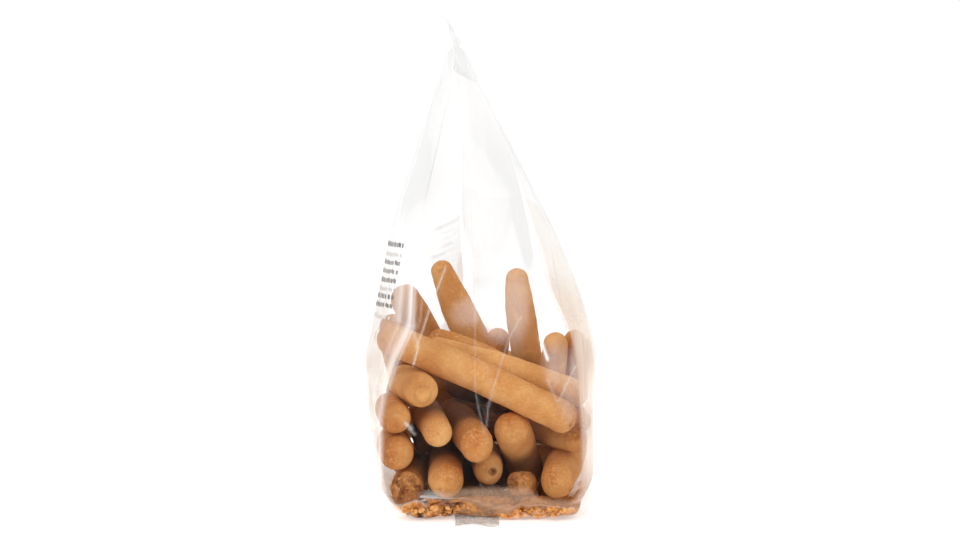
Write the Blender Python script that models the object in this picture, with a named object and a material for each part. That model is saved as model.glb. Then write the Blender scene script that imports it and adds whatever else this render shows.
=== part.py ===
"""Clear gusseted film bag of short breadsticks, standing on its base, as one closed solid.

The two flat panels face -X and +X, the folded gussets face -Y and +Y. The panels lean together from the
fill line up to the top seal, and the gussets fold inwards by as much as the film's own width asks. The top
seal is a thin fin along Y. The bottom seal is a second fin, laid flat along the base, whose ends show.
"""

import math

import bpy

# Driving sizes, in metres
BODY_WIDTH = 0.1030  # across the two bulging panels, at the fill line
PANEL_WIDTH = 0.1080  # across the two gussets
FULL_HEIGHT = 0.0640  # up to here the bread holds the bag at its full width
TAPER_END = 0.2080  # where the leaning panels would meet
TAPER_POWER = 1.35  # 1 is a straight taper, more keeps the shoulders full
SEAL_START = 0.2035  # lower edge of the top seal
BAG_HEIGHT = 0.2150  # top of the upright seal
APEX_SHIFT = -0.0110  # the top seal stands off the middle, towards -X

# How far a panel bows out past its own edges, as a part of the half width, at four heights
PANEL_BULGE = ((0.048, 0.14), (0.088, 0.22), (0.140, 0.14), (0.200, 0.08))

BASE_RADIUS = 0.0100  # the turn from each panel into the base
GUSSET_TUCK = 0.0050  # how far each gusset's lower edge tucks in under the bag
TUCK_HEIGHT = 0.0110  # the fold that the gusset makes above the base
CORNER_HEIGHT = 0.0300  # the base's corners are round up to here
CORNER_PASSES = 5  # rounds of smoothing for those corners

SEAL_THICKNESS = 0.0012
SEAL_LEAN_FRONT = 0.0025  # the fin's top edge turns a little to +X at its -Y end
SEAL_LEAN_BACK = -0.0065  # and to -X at its +Y end
FOOT_FOLD_X = 0.0085  # the bottom seal folds flat towards -X from here
FOOT_WIDTH = 0.0195
FOOT_LENGTH = 0.1160  # its two ends stand out past the base
FOOT_THICKNESS = 0.0008
FOOT_LEVEL = 0.0003  # the ends lie just clear of the surface that the base stands on

SIDE_STEPS = 14  # mesh steps along each of the four sides
BODY_RINGS = 40
RING_SPACING_POWER = 1.5  # above 1, the rings stand closer together near the base
FIN_RINGS = 5
SEAL_APPROACH = 0.0020  # the last ring of the body lies this far under the seal

FILM_COLOUR = (0.93, 0.92, 0.90, 1.0)


def smooth_step(value):
    """0 to 1 with flat ends, for a value from 0 to 1."""
    value = min(1.0, max(0.0, value))
    return value * value * (3.0 - 2.0 * value)


def between(stations, height):
    """A value that runs smoothly through (height, value) stations."""
    value = stations[0][1]
    for (low, _), (high, after) in zip(stations, stations[1:]):
        value += (after - value) * smooth_step((height - low) / (high - low))
    return value


def half_width(height):
    """Half of the bag's width across its panels, bulge included, above the turn of the base."""
    rise = max(0.0, height - FULL_HEIGHT) / (TAPER_END - FULL_HEIGHT)
    return 0.5 * BODY_WIDTH * (1.0 - rise**TAPER_POWER)


def edge_width(height):
    """Half of the width between the two upright edges of a gusset."""
    return half_width(height) * (1.0 - between(PANEL_BULGE, height))


def fold_depth(height):
    """How far a gusset folds in: the film keeps its width, so a narrower bag has a deeper fold."""
    return math.sqrt(max(0.0, edge_width(0.0) ** 2 - edge_width(height) ** 2))


def centre_x(height):
    """The middle of the bag at a height: it drifts to the top seal's place."""
    return APEX_SHIFT * smooth_step((height - FULL_HEIGHT) / (SEAL_START - FULL_HEIGHT))


def outline(edge, bulge, reach, depth):
    """A level section of the bag, clockwise from the corner of the -X panel and the -Y gusset."""
    steps = [step / SIDE_STEPS for step in range(SIDE_STEPS)]
    panel = [(-edge - 4.0 * part * (1.0 - part) * bulge, reach * (2.0 * part - 1.0)) for part in steps]
    gusset = [
        (edge * (2.0 * part - 1.0), reach - depth * (1.0 - abs(2.0 * part - 1.0))) for part in steps
    ]
    return panel + gusset + [(-x, -y) for x, y in panel + gusset]


def rounded(section, share):
    """Moves a section towards its own smoothed form, by a share from 0 to 1."""
    smooth = section
    for _ in range(CORNER_PASSES):
        threes = zip(smooth[-1:] + smooth[:-1], smooth, smooth[1:] + smooth[:1])
        smooth = [tuple((a + 2.0 * b + c) / 4.0 for a, b, c in zip(*three)) for three in threes]
    pairs = zip(section, smooth)
    return [tuple(sharp + share * (soft - sharp) for sharp, soft in zip(*pair)) for pair in pairs]


def body_ring(height):
    """The bag's outline at a height below the top seal."""
    turn = max(0.0, 1.0 - height / BASE_RADIUS)
    inset = BASE_RADIUS * (1.0 - math.sqrt(1.0 - turn * turn))
    tuck = GUSSET_TUCK * max(0.0, 1.0 - height / TUCK_HEIGHT)
    edge = edge_width(height)
    bulge = half_width(height) - edge
    section = outline(edge - inset, bulge, 0.5 * PANEL_WIDTH - tuck, fold_depth(height))
    section = rounded(section, 1.0 - smooth_step(height / CORNER_HEIGHT))
    return [(x + centre_x(height), y, height) for x, y in section]


def fin_ring(rise):
    """The top seal's outline, at a part of its own height from 0 to 1."""
    height = SEAL_START + rise * (BAG_HEIGHT - SEAL_START)
    ring = []
    for x, y in outline(0.5 * SEAL_THICKNESS, 0.0, 0.5 * PANEL_WIDTH, 0.0):
        back = 0.5 + y / PANEL_WIDTH
        lean = SEAL_LEAN_FRONT + (SEAL_LEAN_BACK - SEAL_LEAN_FRONT) * back
        ring.append((APEX_SHIFT + x + lean * rise * rise, y, height))
    return ring


def bag_mesh():
    """The whole outer skin of the bag, as one closed mesh."""
    top = SEAL_START - SEAL_APPROACH
    parts = [(ring / (BODY_RINGS - 1)) ** RING_SPACING_POWER for ring in range(BODY_RINGS)]
    rings = [body_ring(top * part) for part in parts]
    rings += [fin_ring(step / (FIN_RINGS - 1)) for step in range(FIN_RINGS)]
    count = len(rings[0])
    points = [point for ring in rings for point in ring]
    faces = [tuple(range(count)), tuple(reversed(range(len(points) - count, len(points))))]
    for low in range(0, len(points) - count, count):
        for index in range(count):
            after = (index + 1) % count
            faces.append((low + after, low + index, low + count + index, low + count + after))
    mesh = bpy.data.meshes.new("bag")
    mesh.from_pydata(points, [], faces)
    mesh.validate()
    return mesh


def film_material():
    """Clear glossy film."""
    material = bpy.data.materials.new("film")
    material.use_nodes = True
    shader = material.node_tree.nodes["Principled BSDF"]
    shader.inputs["Base Color"].default_value = FILM_COLOUR
    shader.inputs["Roughness"].default_value = 0.15
    shader.inputs["Metallic"].default_value = 0.0
    shader.inputs["Alpha"].default_value = 0.35
    return material


def add_foot(bag):
    """Joins the bottom seal, folded flat, to the base."""
    place = (FOOT_FOLD_X - 0.5 * FOOT_WIDTH, 0.0, FOOT_LEVEL + 0.5 * FOOT_THICKNESS)
    bpy.ops.mesh.primitive_cube_add(size=1.0, location=place)
    foot = bpy.context.object
    foot.name = "foot_strip"
    foot.scale = (FOOT_WIDTH, FOOT_LENGTH, FOOT_THICKNESS)
    bpy.ops.object.transform_apply(location=False, rotation=False, scale=True)
    foot.hide_render = True
    foot.display_type = "WIRE"
    join = bag.modifiers.new("bottom seal", "BOOLEAN")
    join.operation = "UNION"
    join.solver = "EXACT"
    join.object = foot


def main():
    for old in list(bpy.data.objects):
        bpy.data.objects.remove(old)
    bag = bpy.data.objects.new("bag", bag_mesh())
    bpy.context.collection.objects.link(bag)
    bag.data.materials.append(film_material())
    bag.data.shade_smooth()
    bag.data.set_sharp_from_angle(angle=math.radians(40.0))
    add_foot(bag)


main()
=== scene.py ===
"""Looks of a clear side-gusseted film bag of short breadsticks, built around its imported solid."""

import math

import bmesh
import bpy
import numpy as np
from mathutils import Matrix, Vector, noise


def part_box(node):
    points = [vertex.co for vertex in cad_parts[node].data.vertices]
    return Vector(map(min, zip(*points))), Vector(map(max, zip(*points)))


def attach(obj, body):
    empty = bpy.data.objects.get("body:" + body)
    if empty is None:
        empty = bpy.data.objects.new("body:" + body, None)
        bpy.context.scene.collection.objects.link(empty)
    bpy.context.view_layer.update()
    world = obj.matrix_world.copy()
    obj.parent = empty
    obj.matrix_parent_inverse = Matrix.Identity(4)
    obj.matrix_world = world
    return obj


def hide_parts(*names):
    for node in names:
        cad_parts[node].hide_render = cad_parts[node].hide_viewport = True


bl_info = {
    "name": "Bag of grissini breadsticks",
    "version": (1, 0, 0),
    "blender": (4, 5, 0),
    "location": "3D Viewport > Sidebar > Breadsticks",
    "description": "Breadsticks, crumbs, film bag, seals and studio stage",
    "category": "Object",
}

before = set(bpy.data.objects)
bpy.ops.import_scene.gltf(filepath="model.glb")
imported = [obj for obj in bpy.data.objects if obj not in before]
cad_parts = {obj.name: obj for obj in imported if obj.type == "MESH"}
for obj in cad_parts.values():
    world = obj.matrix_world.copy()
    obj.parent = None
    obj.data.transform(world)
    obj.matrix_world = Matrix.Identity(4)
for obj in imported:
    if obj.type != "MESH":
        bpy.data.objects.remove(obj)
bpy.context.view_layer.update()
BAG_LOW, BAG_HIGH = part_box("bag")
MM = 0.001


# ---------------------------------------------------------------- settings


class BreadSettings(bpy.types.PropertyGroup):
    """Sizes and colours of the breadsticks and their crumbs."""

    crust: bpy.props.FloatVectorProperty(
        name="Crust",
        description="Middle colour of the baked crust",
        subtype="COLOR",
        size=4,
        default=(0.67, 0.300, 0.086, 1.0),
    )
    crust_pale: bpy.props.FloatVectorProperty(
        name="Pale crust",
        description="Crust where it baked less",
        subtype="COLOR",
        size=4,
        default=(0.82, 0.450, 0.165, 1.0),
    )
    crust_brown: bpy.props.FloatVectorProperty(
        name="Brown crust",
        description="Crust where it baked more, at tips and undersides",
        subtype="COLOR",
        size=4,
        default=(0.47, 0.145, 0.022, 1.0),
    )
    crumb_colour: bpy.props.FloatVectorProperty(
        name="Inner crumb",
        description="Broken ends, holes and loose crumbs",
        subtype="COLOR",
        size=4,
        default=(0.60, 0.255, 0.068, 1.0),
    )
    lump_height: bpy.props.FloatProperty(
        name="Lump height",
        description="Height of the crust's broad unevenness",
        default=0.0011,
        unit="LENGTH",
    )
    grain_height: bpy.props.FloatProperty(
        name="Grain height",
        description="Height of the crust's fine roughness",
        default=0.00034,
        unit="LENGTH",
    )
    crumb_count: bpy.props.IntProperty(
        name="Crumbs",
        description="Number of loose crumbs in the bottom of the bag",
        default=1500,
    )


class FilmSettings(bpy.types.PropertyGroup):
    """Sizes and finish of the clear film."""

    body_width: bpy.props.FloatProperty(
        name="Body width",
        description="Across the two bulging panels at the fill line",
        default=BAG_HIGH.x - BAG_LOW.x,
        unit="LENGTH",
    )
    panel_width: bpy.props.FloatProperty(
        name="Panel width",
        description="Across the two gussets",
        default=0.1080,
        unit="LENGTH",
    )
    tint: bpy.props.FloatVectorProperty(
        name="Film tint",
        description="Colour of the film's faint milky veil",
        subtype="COLOR",
        size=4,
        default=(0.985, 0.975, 0.96, 1.0),
    )
    ink: bpy.props.FloatVectorProperty(
        name="Ink field",
        description="Pale see-through colour field on the +X panel",
        subtype="COLOR",
        size=4,
        default=(0.90, 0.83, 0.73, 1.0),
    )
    bar_colour: bpy.props.FloatVectorProperty(
        name="Printed bars",
        description="Dark plain bars on the -X panel",
        subtype="COLOR",
        size=4,
        default=(0.10, 0.08, 0.07, 1.0),
    )


class StageSettings(bpy.types.PropertyGroup):
    """Floor, lights and camera."""

    floor_colour: bpy.props.FloatVectorProperty(
        name="Floor",
        description="Plain pale floor",
        subtype="COLOR",
        size=4,
        default=(0.93, 0.93, 0.93, 1.0),
    )
    floor_glow: bpy.props.FloatProperty(
        name="Floor glow", description="Light from the floor under the bag, as on a light table", default=0.32
    )
    sky_strength: bpy.props.FloatProperty(
        name="Sky strength", description="Light from straight above", default=1.40
    )
    key_power: bpy.props.FloatProperty(
        name="Key light", description="Soft light from the upper left", default=9.3, unit="POWER"
    )
    distance: bpy.props.FloatProperty(
        name="Camera distance", description="From the bag's middle", default=1.8, unit="LENGTH"
    )
    elevation: bpy.props.FloatProperty(
        name="Camera elevation",
        description="Angle above the floor",
        default=math.radians(10.2),
        subtype="ANGLE",
    )
    lens: bpy.props.FloatProperty(name="Lens", description="Focal length", default=150.0, unit="CAMERA")


# ---------------------------------------------------------------- small helpers


def clear_selection():
    """Nothing is selected or in edit mode."""
    if bpy.context.object and bpy.context.object.mode != "OBJECT":
        bpy.ops.object.mode_set(mode="OBJECT")
    bpy.ops.object.select_all(action="DESELECT")


def make_active(piece):
    """The piece is the only one selected."""
    clear_selection()
    piece.select_set(True)
    bpy.context.view_layer.objects.active = piece


def apply_all(piece):
    """Applies every modifier of a piece, in order."""
    make_active(piece)
    for modifier in list(piece.modifiers):
        bpy.ops.object.modifier_apply(modifier=modifier.name)


def points_of(mesh):
    """A mesh's points as an array."""
    flat = np.empty(len(mesh.vertices) * 3)
    mesh.vertices.foreach_get("co", flat)
    return flat.reshape(-1, 3)


def set_points(mesh, points):
    """Writes an array of points to a mesh."""
    mesh.vertices.foreach_set("co", points.astype(np.float32).ravel())
    mesh.update()


def set_mask(mesh, name, values):
    """Stores one number for each point, for the material to read."""
    layer = mesh.attributes.get(name) or mesh.attributes.new(name, "FLOAT", "POINT")
    layer.data.foreach_set("value", np.asarray(values, dtype=np.float32))


def ease(value):
    """0 to 1 with flat ends."""
    value = np.clip(value, 0.0, 1.0)
    return value * value * (3.0 - 2.0 * value)


def along(stations, height):
    """A value that runs through (height, value) stations given in millimetres."""
    heights = [station[0] * MM for station in stations]
    values = [station[1] * MM for station in stations]
    return np.interp(height, heights, values)


def finish_piece(piece):
    """Rides on the bag's body."""
    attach(piece, "root")


# ---------------------------------------------------------------- the bag's form

FULL_HEIGHT = 0.0640
TAPER_END = 0.2080
TAPER_POWER = 1.35
SEAL_START = 0.2035
APEX_SHIFT = -0.0110
PANEL_BULGE = ((0.048, 0.14), (0.088, 0.22), (0.140, 0.14), (0.200, 0.08))
BASE_RADIUS = 0.0130
GUSSET_TUCK = 0.0050
TUCK_HEIGHT = 0.0110
CORNER_HEIGHT = 0.0300

# Upright edges and middle fold of the front gusset: (height, x) in millimetres
FRONT_LEFT = (
    (0, -38.0), (6, -40.2), (17, -42.6), (48, -42.8), (61, -40.6), (74, -36.2), (89, -29.5), (112, -28.0),
    (146, -23.5), (182, -15.5), (204, -9.5),
)
FRONT_RIGHT = (
    (0, 38.5), (6, 42.6), (14, 45.4), (48, 44.6), (66, 43.2), (86, 40.5), (96, 36.9), (112, 33.9),
    (130, 30.3), (155, 21.0), (173, 13.0), (191, 4.0), (204, -7.5),
)
FRONT_FOLD = (
    (0, 1), (41, 1.5), (59, -2), (87, -2), (112, -2.5), (140, -4), (175, -7), (204, -8.5),
)


# How far each side is drawn in from an even form: (height, amount) in millimetres
LEFT_TUCK = (
    (0, 11), (4, 10), (10, 7.6), (17, 6.4), (31, 2.9), (45, 1.0), (62, 0), (76, 1.4), (102, 1.9),
    (130, 2.4), (190, 2.7), (203, 1.5),
)
RIGHT_TUCK = (
    (0, 8), (4, 4.5), (9, 1.5), (14, 0), (45, -0.3), (60, -1.2), (95, -1.4), (125, -1.9), (150, -1.3),
    (190, -1.2), (203, 0),
)


def half_width(height):
    """Half of the bag's width across its panels."""
    rise = np.maximum(0.0, height - FULL_HEIGHT) / (TAPER_END - FULL_HEIGHT)
    width = bpy.context.scene.grissini_film.body_width
    return 0.5 * width * (1.0 - rise**TAPER_POWER)


def bulge_share(height):
    """How much of the half width is a panel's bow past its own edges."""
    value = PANEL_BULGE[0][1]
    for (low, before), (high, after) in zip(PANEL_BULGE, PANEL_BULGE[1:]):
        value = value + (after - before) * ease((height - low) / (high - low))
    return value


def fold_depth(half):
    """How far a gusset folds in where half the distance between its edges is given."""
    flat = 0.5 * bpy.context.scene.grissini_film.body_width * (1.0 - PANEL_BULGE[0][1])
    return np.sqrt(np.maximum(0.0, flat**2 - half**2))


def centre_x(height):
    """The middle of the bag drifts to the top seal's place."""
    return APEX_SHIFT * ease((height - FULL_HEIGHT) / (SEAL_START - FULL_HEIGHT))


def corners(height):
    """The four upright edges and two middle folds at a height, as x values."""
    half = half_width(height)
    edge = half * (1.0 - bulge_share(height))
    centre = centre_x(height)
    front_left = along(FRONT_LEFT, height)
    front_right = along(FRONT_RIGHT, height)
    shift = 0.5 * (front_left + front_right) - centre
    tuck = along(LEFT_TUCK, height)
    shift = shift * 0.8 * (1.0 - ease((height - 0.105) / 0.055))
    return {
        "front_left": front_left,
        "front_right": front_right,
        "front_fold": along(FRONT_FOLD, height),
        "back_left": centre - edge - shift + 0.6 * tuck,
        "back_right": centre + edge - shift,
        "back_fold": centre - shift,
        "left": centre - half + tuck,
        "right": centre + half - along(RIGHT_TUCK, height),
    }


FRONT_STEPS = 164
PANEL_STEPS = 58
BACK_STEPS = 58
ROWS = 262


def section(height):
    """One level section, counter-clockwise from above, from the front gusset's left edge."""
    at = corners(height)
    reach = 0.5 * bpy.context.scene.grissini_film.panel_width
    tuck = GUSSET_TUCK * max(0.0, 1.0 - height / TUCK_HEIGHT)
    turn = max(0.0, 1.0 - height / BASE_RADIUS)
    inset = BASE_RADIUS * (1.0 - math.sqrt(1.0 - turn * turn))

    def gusset(start, fold, end, steps, sign):
        part = np.arange(steps) / steps
        closeness = 1.0 - np.abs(2.0 * part - 1.0)
        left = start + (fold - start) * np.minimum(1.0, 2.0 * part)
        x = left + (end - fold) * np.maximum(0.0, 2.0 * part - 1.0)
        depth = fold_depth(0.5 * abs(end - start))
        y = sign * (reach - tuck - depth * closeness)
        return x, y

    def panel(start, end, middle, steps, sign):
        part = np.arange(steps) / steps
        bow = middle - 0.5 * (start + end)
        x = start + (end - start) * part + 4.0 * part * (1.0 - part) * bow
        y = sign * (reach - tuck) * (2.0 * part - 1.0)
        return x, y

    front = gusset(
        at["front_left"] + inset, at["front_fold"], at["front_right"] - inset, FRONT_STEPS, -1.0
    )
    right = panel(at["front_right"] - inset, at["back_right"] - inset, at["right"] - inset, PANEL_STEPS, 1.0)
    back = gusset(at["back_right"] - inset, at["back_fold"], at["back_left"] + inset, BACK_STEPS, 1.0)
    left = panel(at["back_left"] + inset, at["front_left"] + inset, at["left"] + inset, PANEL_STEPS, -1.0)
    x = np.concatenate([front[0], right[0], back[0], left[0]])
    y = np.concatenate([front[1], right[1], back[1], left[1]])
    return np.stack([x, y], axis=1)


def blur_weights(ring, width):
    """A circular blur along a ring's own length."""
    step = np.linalg.norm(np.roll(ring, -1, axis=0) - ring, axis=1)
    place = np.concatenate([[0.0], np.cumsum(step)[:-1]])
    total = step.sum()
    gap = np.abs(place[:, None] - place[None, :])
    gap = np.minimum(gap, total - gap)
    share = 0.5 * (step + np.roll(step, 1))
    weights = np.exp(-0.5 * (gap / width) ** 2) * share[None, :]
    return weights / weights.sum(axis=1, keepdims=True)


def bag_grid():
    """The film's plain form as a grid of rows, from the base up to the top seal."""
    heights = 0.0004 + (SEAL_START - 0.0004) * (np.arange(ROWS) / (ROWS - 1)) ** 1.12
    blur = blur_weights(section(0.02), 0.0110)
    sharp_blur = blur_weights(section(0.02), 0.0009)
    grid = np.empty((ROWS, len(blur), 3))
    for row, height in enumerate(heights):
        ring = section(height)
        share = 1.0 - ease(height / CORNER_HEIGHT)
        ring = ring + share * (blur @ ring - ring)
        ring = sharp_blur @ ring
        closing = 1.0 - ease((height - 0.1965) / 0.0068)
        ring[:, 0] = APEX_SHIFT + (ring[:, 0] - APEX_SHIFT) * (0.06 + 0.94 * closing)
        grid[row, :, :2] = ring
        grid[row, :, 2] = height
    return grid


# ---------------------------------------------------------------- breadsticks


def stick_places():
    """Where the breadsticks lie: name, near end, far end, radius and bow, in millimetres.

    The ends are the centres of the two round caps. The first group shows, the second fills the heap.
    """
    shown = (
        ("cross_long", (35.8, -44, 46), (-40, -25, 76.5), 7.3, (0, 3, 0.2)),
        ("cross_short", (43, -30, 54.5), (-19, -15, 71), 6.3, (0, 0, 1.0)),
        ("cross_back", (-18, -2, 72.5), (31, -6, 52), 6.0, (0, 0, 2.0)),
        ("tall_left", (-17, 10, 103), (12, 22, 46), 7.4, (-1, 0, -1)),
        ("tall_right", (17, 15, 98.2), (23, 24, 46), 7.2, (-1, 0, 0)),
        ("tall_edge", (34, -8, 72), (37, 14, 32), 6.1, (0, 0, 0)),
        ("leaning_left", (-34, 22, 88), (-14, 32, 50), 7.0, (0, 0, 0)),
        ("leaning_far", (-40, 12, 77), (-36, 30, 48), 6.2, (0, 0, 0)),
        ("left_top", (-25.5, -41, 58.5), (-34, -2, 54), 7.9, (0, 0, 0)),
        ("left_second", (-37, -43, 46.5), (-40, 32, 32), 7.3, (0, 0, 0)),
        ("left_third", (-36, -43, 30), (-39, 33, 17), 8.0, (0, 0, 0)),
        ("left_low", (-33, -42, 14.6), (-27, 32, 9), 7.7, (0, 0, 0)),
        ("inner_left", (-18.5, -45, 40.5), (-27, 20, 39), 7.0, (0, 0, 0)),
        ("inner_middle", (-1, -44, 34.5), (-13, 24, 27), 8.1, (0, 0, 0)),
        ("steep_middle", (14, -37, 40.3), (16, 4, 9), 8.5, (0, 0, 0)),
        ("low_left", (-15, -44, 18.5), (-17, 31, 18), 8.2, (0, 0, 0)),
        ("low_middle", (6, -31, 21.5), (1, 32, 15), 7.5, (0, 0, 0)),
        ("low_right", (34, -43, 18.6), (38, 18, 17), 8.4, (0, 0, 0)),
        ("right_side", (44, -32, 33), (23, 6, 28), 5.8, (0, 0, 0)),
        ("fragment_front", (14.5, -37, 15), (21, -36, 14), 5.4, (0, 0, 0)),
        ("low_peak", (8.5, 35, 66.5), (7, 34, 56), 5.6, (0, 0, 0)),
        ("right_tall", (43, 3, 72), (45, 12, 44), 5.8, (0, 0, 0)),
        ("fragment_low_left", (-8, -38, 5.6), (13, -39, 5.4), 4.3, (0, 0, 0)),
        ("fragment_low_right", (19, -39, 5.4), (38, -38, 5.6), 4.3, (0, 0, 0)),
    )
    hidden = (
        ("heap_a", (25, 16, 40), (17, 34, 33), 6.0, (0, 0, 0)),
        ("heap_b", (-9, 20, 50), (4, 33, 43), 6.2, (0, 0, 0)),
        ("heap_c", (40, 30, 63), (30, 31, 26), 6.6, (0, 0, 0)),
        ("heap_d", (26, -13, 8), (30, 33, 8), 6.0, (0, 0, 0)),
        ("heap_e", (44, 4, 33), (43, 33, 31), 5.8, (0, 0, 0)),
        ("heap_f", (6, 2, 30), (5, 34, 28), 6.0, (0, 0, 0)),
        ("heap_g", (-27, -8, 27), (-27, 28, 26), 5.0, (0, 0, 0)),
        ("heap_i", (-4, -22, 6.6), (-5, 33, 6.6), 5.2, (0, 0, 0)),
        ("heap_j", (10, 16, 8), (12, 34, 8), 6.2, (0, 0, 0)),
        ("back_a", (-37, 46, 8), (32, 46, 8.5), 6.8, (0, 0, 0)),
        ("back_b", (35, 46, 22.5), (-36, 46, 21.5), 7.3, (0, 0, 0)),
        ("back_c", (-37, 46, 36), (33, 46, 37), 7.3, (0, 0, 0)),
        ("back_d", (34, 45.5, 50.5), (-36, 45.5, 49.5), 6.7, (0, 0, 0)),
    )
    sticks = []
    for group, places in ((True, shown), (False, hidden)):
        for name, near, far, radius, bow in places:
            sticks.append(
                {
                    "name": name,
                    "shown": group,
                    "near": np.array(near, float) * MM,
                    "far": np.array(far, float) * MM,
                    "radius": radius * MM,
                    "bow": np.array(bow, float) * MM,
                }
            )
    return sticks


AXIS_SAMPLES = 17


def stick_axis(stick):
    """Points along a stick's middle line, cap centre to cap centre."""
    part = np.linspace(0.0, 1.0, AXIS_SAMPLES)[:, None]
    line = stick["near"] * (1.0 - part) + stick["far"] * part
    return line + stick["bow"] * 4.0 * part * (1.0 - part)


def settle(sticks):
    """Pushes touching sticks apart: near ends of the shown ones stay, everything else gives way."""
    count = len(sticks)
    near = np.array([stick["near"] for stick in sticks])
    far = np.array([stick["far"] for stick in sticks])
    radius = np.array([stick["radius"] for stick in sticks])
    bow = np.array([stick["bow"] for stick in sticks])
    length = np.linalg.norm(far - near, axis=1)
    shown = np.array([stick["shown"] for stick in sticks])
    near_weight = np.where(shown, 0.04, 1.0)
    far_weight = np.where(shown, 0.2, 1.0)
    first, second = np.triu_indices(count, 1)
    part = np.linspace(0.0, 1.0, AXIS_SAMPLES)
    pairs = np.arange(len(first))
    for _ in range(260):
        line = near[:, None] * (1.0 - part)[None, :, None] + far[:, None] * part[None, :, None]
        line = line + bow[:, None] * (4.0 * part * (1.0 - part))[None, :, None]
        gap = line[first][:, :, None] - line[second][:, None]
        distance = np.linalg.norm(gap, axis=-1) + 1e-9
        wanted = (radius[first] + radius[second] + 0.0002)[:, None, None]
        overlap = np.maximum(0.0, wanted - distance).reshape(len(pairs), -1)
        worst = overlap.argmax(axis=1)
        amount = overlap[pairs, worst]
        a, b = np.divmod(worst, AXIS_SAMPLES)
        touching = amount > 0.0
        way = gap[pairs, a, b] / distance[pairs, a, b][:, None]
        near_move = np.zeros_like(near)
        far_move = np.zeros_like(far)
        give = np.where(shown, 0.3, 1.0)
        for me, sign, where, other in ((first, 1.0, a, second), (second, -1.0, b, first)):
            share = give[me] / (give[me] + give[other])
            move = (sign * way * (amount * share)[:, None])[touching]
            place = part[where][touching]
            spread = (1.0 - place) ** 2 + place**2
            np.add.at(near_move, me[touching], move * ((1.0 - place) / spread)[:, None])
            np.add.at(far_move, me[touching], move * (place / spread)[:, None])
        near += 0.4 * near_move * near_weight[:, None]
        far += 0.4 * far_move * far_weight[:, None]
        for end, weight in ((near, near_weight), (far, far_weight)):
            height = end[:, 2]
            half = half_width(height)
            edge = half * (1.0 - bulge_share(height))
            depth = fold_depth(edge)
            side = end[:, 0] - centre_x(height)
            wall = half - (half - edge) * (end[:, 1] / 0.054) ** 2 - radius - 0.0004
            end[:, 0] -= np.maximum(0.0, np.abs(side) - wall) * np.sign(side) * 0.8 * weight
            room = 0.0525 - depth * (1.0 - np.minimum(1.0, np.abs(side) / edge)) - radius
            end[:, 1] -= np.maximum(0.0, np.abs(end[:, 1]) - room) * np.sign(end[:, 1]) * 0.8 * weight
            end[:, 2] += np.maximum(0.0, radius + 0.0012 - height)
        middle = 0.5 * (near + far)
        span = far - near
        span *= (0.5 * length / np.linalg.norm(span, axis=1))[:, None]
        loose_near = middle - span
        far[shown] = near[shown] + 2.0 * span[shown]
        near[~shown] = loose_near[~shown]
        far[~shown] = (middle + span)[~shown]
    for index, stick in enumerate(sticks):
        stick["near"] = near[index]
        stick["far"] = far[index]
    return sticks


STICKS = []


def noise_texture(name, kind, size):
    """A texture for the Displace modifier."""
    texture = bpy.data.textures.get(name) or bpy.data.textures.new(name, kind)
    texture.noise_scale = size
    return texture


def blank_stick(name, radius, length, around, cuts):
    """A straight round-ended stick along Z, standing on the origin."""
    clear_selection()
    bpy.ops.mesh.primitive_uv_sphere_add(
        segments=around, ring_count=around // 2, radius=radius, location=(0.0, 0.0, 0.0)
    )
    piece = bpy.context.object
    piece.name = name
    piece.data.name = name
    bpy.ops.object.mode_set(mode="EDIT")
    bpy.ops.mesh.select_all(action="DESELECT")
    bpy.ops.mesh.select_mode(type="VERT")
    shell = bmesh.from_edit_mesh(piece.data)
    for vertex in shell.verts:
        vertex.select_set(vertex.co.z > 0.01 * radius)
    shell.select_flush(True)
    bmesh.update_edit_mesh(piece.data)
    bpy.ops.transform.translate(value=(0.0, 0.0, length))
    bpy.ops.mesh.select_mode(type="EDGE")
    bpy.ops.mesh.select_all(action="DESELECT")
    shell = bmesh.from_edit_mesh(piece.data)
    for edge in shell.edges:
        edge.select_set(abs(edge.verts[0].co.z - edge.verts[1].co.z) > 0.6 * length)
    bmesh.update_edit_mesh(piece.data)
    bpy.ops.mesh.subdivide(number_cuts=cuts)
    bpy.ops.object.mode_set(mode="OBJECT")
    return piece


def axis_curve(stick):
    """A curve along a stick's middle line, for the Curve modifier."""
    clear_selection()
    bpy.ops.curve.primitive_bezier_curve_add(radius=1.0, location=(0.0, 0.0, 0.0))
    guide = bpy.context.object
    guide.name = "guide"
    spline = guide.data.splines[0]
    reach = (stick["far"] - stick["near"]) / 3.0
    lift = stick["bow"] * 4.0 / 3.0
    start, end = spline.bezier_points
    for point in (start, end):
        point.handle_left_type = "FREE"
        point.handle_right_type = "FREE"
    start.co = stick["near"]
    end.co = stick["far"]
    start.handle_left = stick["near"] - reach - lift
    start.handle_right = stick["near"] + reach + lift
    end.handle_left = stick["far"] - reach + lift
    end.handle_right = stick["far"] + reach - lift
    guide.data.resolution_u = 24
    guide.data.dimensions = "3D"
    return guide


# Features at the ends that show: stick, kind, offset across and up in millimetres, size, depth
END_MARKS = (
    ("low_middle", "hole", (1.8, -0.6), 2.3, 3.6),
    ("steep_middle", "dimple", (0.3, 1.2), 3.4, 1.2),
    ("low_left", "hole", (-2.6, -3.2), 1.0, 1.1),
    ("low_left", "hole", (0.2, -4.4), 0.8, 0.9),
    ("cross_long", "hole", (-3.6, -0.5), 1.5, 2.0),
    ("cross_long", "ring", (-3.6, -0.5), 2.6, 0.5),
    ("low_right", "dimple", (-1.5, 2.6), 2.2, 0.7),
    ("low_right", "hole", (6.4, -4.6), 1.2, 1.2),
    ("left_top", "ring", (-1.0, -1.0), 4.0, 0.8),
    ("inner_left", "dimple", (1.5, -2.0), 1.6, 0.5),
    ("left_second", "dimple", (1.5, 1.0), 1.5, 0.5),
)
BROKEN = ("left_low", "fragment_front")
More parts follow.
